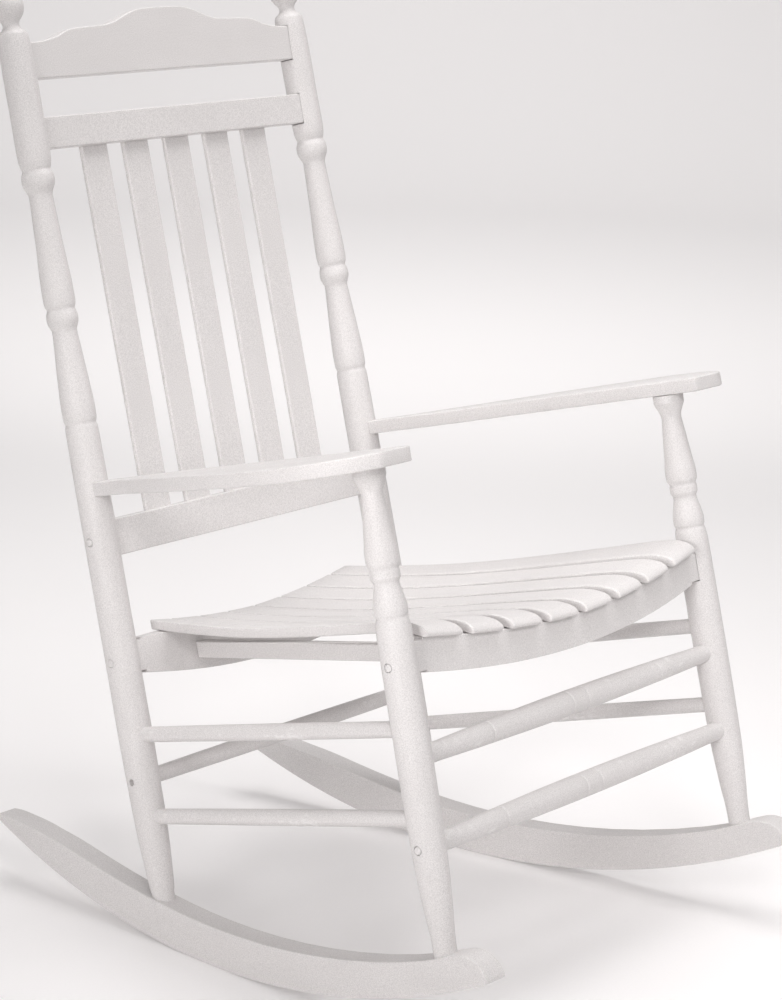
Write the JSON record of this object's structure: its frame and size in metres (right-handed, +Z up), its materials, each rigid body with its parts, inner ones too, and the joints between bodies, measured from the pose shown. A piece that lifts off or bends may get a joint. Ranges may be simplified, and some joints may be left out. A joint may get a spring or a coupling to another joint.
{
  "type": "rocking chair",
  "caption": "Slat-back wooden porch rocking chair: turned posts and stretchers, flat back slats, dished slatted seat, shaped arms, curved rockers.",
  "frame": {"origin": "on the floor, under the middle of the chair's bounding box, between the rockers", "axes": "+X to the sitter's left, +Y to the back, +Z up; the front faces -Y, and the chair stands at rest on its rockers"},
  "size_m": [0.788, 0.8442, 1.1348],
  "materials": {
    "rocker_paint": "white satin paint over fine wood grain",
    "post_paint": "white satin paint over turned wood, grain along the post",
    "stretcher_paint": "white satin paint over turned wood, grain along the stretcher",
    "rail_paint": "white satin paint over fine wood grain",
    "seat_paint": "white satin paint over fine wood grain",
    "back_paint": "white satin paint over fine wood grain",
    "arm_paint": "white satin paint over fine wood grain",
    "plug_paint": "white painted end grain",
    "screw_zinc": "zinc plated",
    "dowel_wood": "bare wood"
  },
  "bodies": {
    "root": {"rocker_left": "rocker_paint", "rocker_right": "rocker_paint", "front_post_left": "post_paint", "front_post_right": "post_paint", "rear_post_left": "post_paint", "rear_post_right": "post_paint", "side_stretcher_upper_left": "stretcher_paint", "side_stretcher_upper_right": "stretcher_paint", "side_stretcher_lower_left": "stretcher_paint", "side_stretcher_lower_right": "stretcher_paint", "front_stretcher_upper": "stretcher_paint", "front_stretcher_lower": "stretcher_paint", "rear_stretcher": "stretcher_paint", "front_seat_rail": "rail_paint", "rear_seat_rail": "rail_paint", "seat_side_rail_left": "rail_paint", "seat_side_rail_right": "rail_paint", "seat_slat_1": "seat_paint", "seat_slat_2": "seat_paint", "seat_slat_3": "seat_paint", "seat_slat_4": "seat_paint", "seat_slat_5": "seat_paint", "seat_slat_6": "seat_paint", "seat_slat_7": "seat_paint", "seat_slat_8": "seat_paint", "crest_rail": "back_paint", "upper_back_rail": "back_paint", "lower_back_rail": "back_paint", "back_slat_1": "back_paint", "back_slat_2": "back_paint", "back_slat_3": "back_paint", "back_slat_4": "back_paint", "back_slat_5": "back_paint", "arm_left": "arm_paint", "arm_right": "arm_paint", "front_rail_plug_left": "plug_paint", "front_rail_plug_right": "plug_paint", "front_stretcher_plug_left": "plug_paint", "front_stretcher_plug_right": "plug_paint", "back_rail_plug_left": "plug_paint", "back_rail_plug_right": "plug_paint", "rear_rail_plug_left": "plug_paint", "rear_rail_plug_right": "plug_paint", "front_rail_screw_left": "screw_zinc", "front_rail_screw_right": "screw_zinc", "front_stretcher_screw_left": "screw_zinc", "front_stretcher_screw_right": "screw_zinc", "back_rail_screw_left": "screw_zinc", "back_rail_screw_right": "screw_zinc", "rear_rail_screw_left": "screw_zinc", "rear_rail_screw_right": "screw_zinc", "rear_stretcher_screw_left": "screw_zinc", "rear_stretcher_screw_right": "screw_zinc", "foot_screw_front_left": "screw_zinc", "foot_screw_front_right": "screw_zinc", "foot_screw_rear_left": "screw_zinc", "foot_screw_rear_right": "screw_zinc", "arm_dowel_left": "dowel_wood", "arm_dowel_right": "dowel_wood"}
  },
  "joints": []
}
